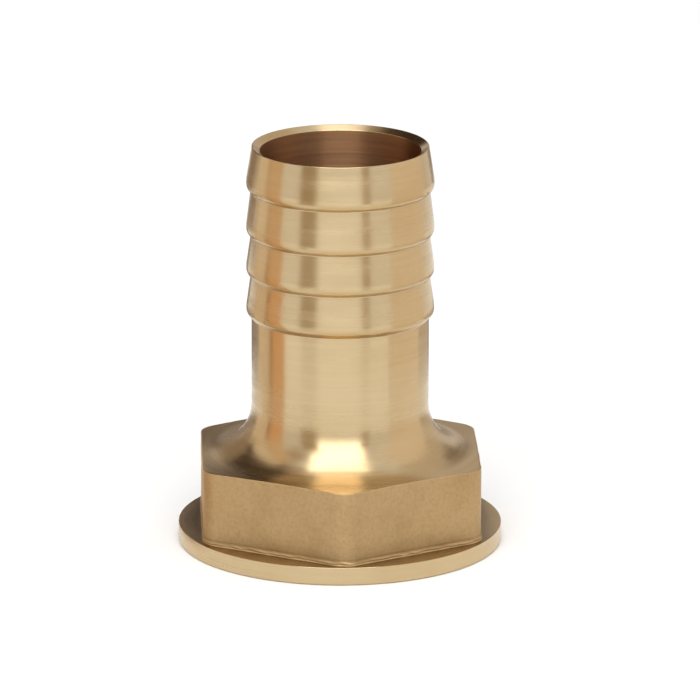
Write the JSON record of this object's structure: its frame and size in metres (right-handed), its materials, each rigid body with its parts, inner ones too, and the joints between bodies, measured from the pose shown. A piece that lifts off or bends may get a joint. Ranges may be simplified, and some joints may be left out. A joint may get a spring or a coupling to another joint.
{
  "type": "hose barb tail",
  "caption": "Brass hose tail: a barbed spigot on a plain neck that flares into a hexagon, with a round flange and a female pipe-thread socket underneath.",
  "frame": {"origin": "centre of the flange's underside, which is the gasket face", "axes": "+Z along the waterway, from the socket towards the hose; a corner of the hexagon points to -Y and two of its sides face +X and -X"},
  "size_m": [0.0444, 0.0444, 0.0557],
  "materials": {
    "turned_brass": "bright turned brass, with matt as-forged hexagon sides"
  },
  "bodies": {
    "root": {"hose_tail": "turned_brass"}
  },
  "joints": []
}
